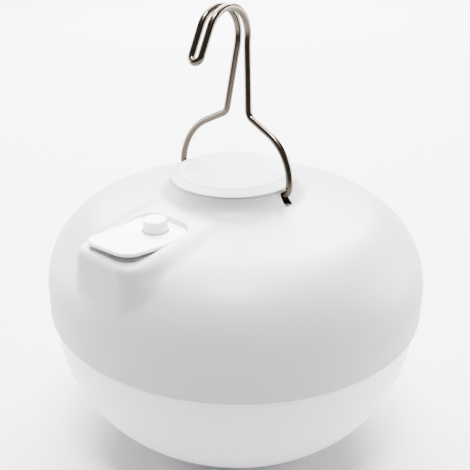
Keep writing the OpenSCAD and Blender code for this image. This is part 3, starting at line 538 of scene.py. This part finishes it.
def material(name, color, rough, metal=0.0, **extra):
    """A plain shader; grain is a fine bump (scale, strength, depth) and vary a spread of roughness."""
    mat = bpy.data.materials.new(name)
    mat.use_nodes = True
    nodes, links = mat.node_tree.nodes, mat.node_tree.links
    bsdf = nodes["Principled BSDF"]
    bsdf.inputs["Base Color"].default_value = (*color, 1)
    bsdf.inputs["Roughness"].default_value = rough
    bsdf.inputs["Metallic"].default_value = metal
    if "specular" in extra:
        bsdf.inputs["Specular IOR Level"].default_value = extra["specular"]
    if "sss" in extra:
        bsdf.inputs["Subsurface Weight"].default_value = extra["sss"]
        bsdf.inputs["Subsurface Radius"].default_value = (1.0, 0.95, 0.9)
        bsdf.inputs["Subsurface Scale"].default_value = extra.get("sss_scale", 0.003)
    if "grain" in extra:
        scale, strength, depth = extra["grain"]
        bump = nodes.new("ShaderNodeBump")
        bump.inputs["Strength"].default_value = strength
        bump.inputs["Distance"].default_value = depth
        links.new(noise(mat.node_tree, scale, 4), bump.inputs["Height"])
        links.new(bump.outputs["Normal"], bsdf.inputs["Normal"])
    if "vary" in extra:
        scale, low, high = extra["vary"]
        ramp = nodes.new("ShaderNodeMapRange")
        ramp.inputs["To Min"].default_value = low
        ramp.inputs["To Max"].default_value = high
        links.new(noise(mat.node_tree, scale, 3), ramp.inputs["Value"])
        links.new(ramp.outputs["Result"], bsdf.inputs["Roughness"])
    return mat


MATERIALS = {
    "housing_plastic": material("housing", (0.335, 0.335, 0.335), 0.42, grain=(1600, 0.10, 0.0002),
                                 vary=(60, 0.39, 0.45)),
    "diffuser_plastic": material("diffuser", (0.78, 0.78, 0.84), 0.38, sss=0.25, sss_scale=0.006,
                                 grain=(1400, 0.06, 0.0002)),
    "seal_rubber": material("seal", (0.80, 0.70, 0.55), 0.6, grain=(900, 0.1, 0.0002)),
    "silicone": material("silicone", (0.68, 0.68, 0.68), 0.42, sss=0.2, sss_scale=0.002,
                         grain=(1200, 0.08, 0.0002)),
    "stainless_wire": material("stainless", (0.080, 0.066, 0.052), 0.2, 1.0, vary=(300, 0.16, 0.24)),
    "spring_steel": material("spring_steel", (0.6, 0.6, 0.6), 0.3, 1.0),
    "screw_steel": material("screw_steel", (0.5, 0.5, 0.52), 0.35, 1.0),
    "nylon": material("nylon", (0.8, 0.8, 0.76), 0.5),
    # The black finish also covers the slots' walls and backs, where it is painted shade.
    "black_plastic": material("black", (0.02, 0.018, 0.016), 0.6),
    "dark_lens": material("lens", (0.36, 0.36, 0.36), 0.3),
    "board": material("board", (0.03, 0.18, 0.09), 0.4),
    "reflector_white": material("reflector", (0.85, 0.85, 0.85), 0.5),
    "lamp_phosphor": material("phosphor", (0.9, 0.75, 0.2), 0.35),
    "cell_sleeve": material("sleeve", (0.1, 0.25, 0.5), 0.3),
    "lead_jacket": material("jacket", (0.03, 0.03, 0.03), 0.55),
}

shell = housing()
parts = [shell, bpy.data.objects["slot_walls_painted_shade"], slot_backs_painted_shade(), deck_seat(), cap(), bowl(), seal(),
         cover(), plug(), button(), status_dot(), hook()]
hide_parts("power_button")
for ob in parts:
    ob.data.materials.clear()
    ob.data.materials.append(MATERIALS[ob["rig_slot"]])
slots = {s["node"]: s["material_slot"] for s in frame["record"]["subparts"]}
for name, ob in frame["nodes"].items():
    ob.data.materials.clear()
    ob.data.materials.append(MATERIALS[slots[name]])
    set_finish(ob, slots[name])


# ---------------------------------------------------------------- stage
def stage_mesh(name, verts, faces, mat):
    me = bpy.data.meshes.new(name)
    me.from_pydata([tuple(v) for v in np.asarray(verts, float) * MM], [], faces)
    ob = bpy.data.objects.new(name, me)
    bpy.context.scene.collection.objects.link(ob)
    me.materials.append(mat)
    return ob


# The lamp is looked at from a place turned this far round it
TURN = math.radians(39.9)


def from_view(right, back, up):
    """A place given from where the lamp is looked at: right, away, up."""
    c, s = math.cos(TURN), math.sin(TURN)
    return (right * c - back * s, right * s + back * c, up)


def area(name, at, aim, size, power):
    """A soft light; its place and what it points at are given as seen from the front."""
    data = bpy.data.lights.new(name, "AREA")
    data.shape = "RECTANGLE"
    data.size, data.size_y = size[0] * MM, size[1] * MM
    data.energy = power
    ob = bpy.data.objects.new(name, data)
    bpy.context.scene.collection.objects.link(ob)
    at, aim = np.array(from_view(*at)), np.array(from_view(*aim))
    z = at - aim
    z /= np.linalg.norm(z)
    x = np.cross((0, 0, 1.0), z)
    if np.linalg.norm(x) < 1e-3:
        x = np.array([1.0, 0, 0])
    x /= np.linalg.norm(x)
    y = np.cross(z, x)
    ob.matrix_world = Matrix([[x[i], y[i], z[i], at[i] * MM] for i in range(3)] + [[0, 0, 0, 1]])
    return ob


FLOOR_HALF = 4000
FLOOR_Z = -0.05
corners = [(x * FLOOR_HALF, y * FLOOR_HALF, FLOOR_Z) for x, y in ((-1, -1), (1, -1), (1, 1), (-1, 1))]
stage_mesh("floor", corners, [(0, 1, 2, 3)], material("floor", (0.50, 0.50, 0.50), 0.9, specular=0.1))
world = bpy.data.worlds.new("studio")
bpy.context.scene.world = world
world.use_nodes = True
world.node_tree.nodes["Background"].inputs["Color"].default_value = (1.0, 0.95, 0.9, 1)
world.node_tree.nodes["Background"].inputs["Strength"].default_value = 0.3

area("key", (0, -250, 1020), (0, 0, 100), (260, 150), 27.0)
area("top", (0, 330, 900), (0, 40, 100), (900, 700), 46.0)
area("right", (1000, 250, 280), (0, 0, 120), (600, 560), 26.0)
area("left", (-950, 300, 280), (0, 0, 120), (560, 560), 22.0)
area("far_floor", (0, 1700, 1500), (0, 1500, 0), (2400, 1200), 620.0)

# ---------------------------------------------------------------- camera
cam = bpy.data.cameras.new("camera")
cam.sensor_width = 36
cam.lens = 52.54
cam.shift_x = 0.1213
cam.clip_start, cam.clip_end = 0.01, 30
cam_ob = bpy.data.objects.new("camera", cam)
bpy.context.scene.collection.objects.link(cam_ob)
fwd = np.array(from_view(-0.07866, 0.89855, -0.43175))
fwd /= np.linalg.norm(fwd)
right0 = np.cross(fwd, (0, 0, 1.0))
right0 /= np.linalg.norm(right0)
up0 = np.cross(right0, fwd)
roll = -0.031
right = math.cos(roll) * right0 + math.sin(roll) * up0
up = -math.sin(roll) * right0 + math.cos(roll) * up0
eye = np.array(from_view(0, -334.23, 193.43 + SEAM)) * MM
cam_ob.matrix_world = Matrix([[right[i], up[i], -fwd[i], eye[i]] for i in range(3)] + [[0, 0, 0, 1]])
bpy.context.scene.camera = cam_ob
